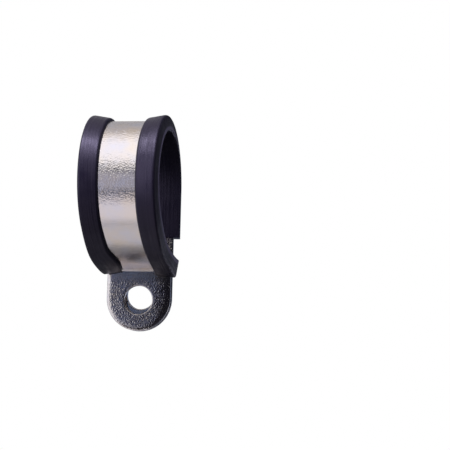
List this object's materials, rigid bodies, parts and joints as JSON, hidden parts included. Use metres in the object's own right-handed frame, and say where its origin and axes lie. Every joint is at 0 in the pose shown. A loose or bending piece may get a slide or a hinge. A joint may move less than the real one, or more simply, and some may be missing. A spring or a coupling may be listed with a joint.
{
  "type": "p clip",
  "caption": "Rubber-lined P clip: a zinc-plated steel strip looped into a ring, its flat overlapping tabs drilled for a screw, with a black rubber channel round the ring.",
  "frame": {"origin": "centre of the fixing hole on the back face of the rear tab, which lies against the wall", "axes": "+X along the cable held in the ring, +Y into the wall, +Z from the fixing hole up to the ring"},
  "size_m": [0.0146, 0.0248, 0.0386],
  "materials": {
    "zinc_steel": "zinc plated, finely grained satin",
    "rubber": "extruded, smooth satin black"
  },
  "bodies": {
    "root": {"steel_band": "zinc_steel", "rubber_liner": "rubber"}
  },
  "joints": []
}
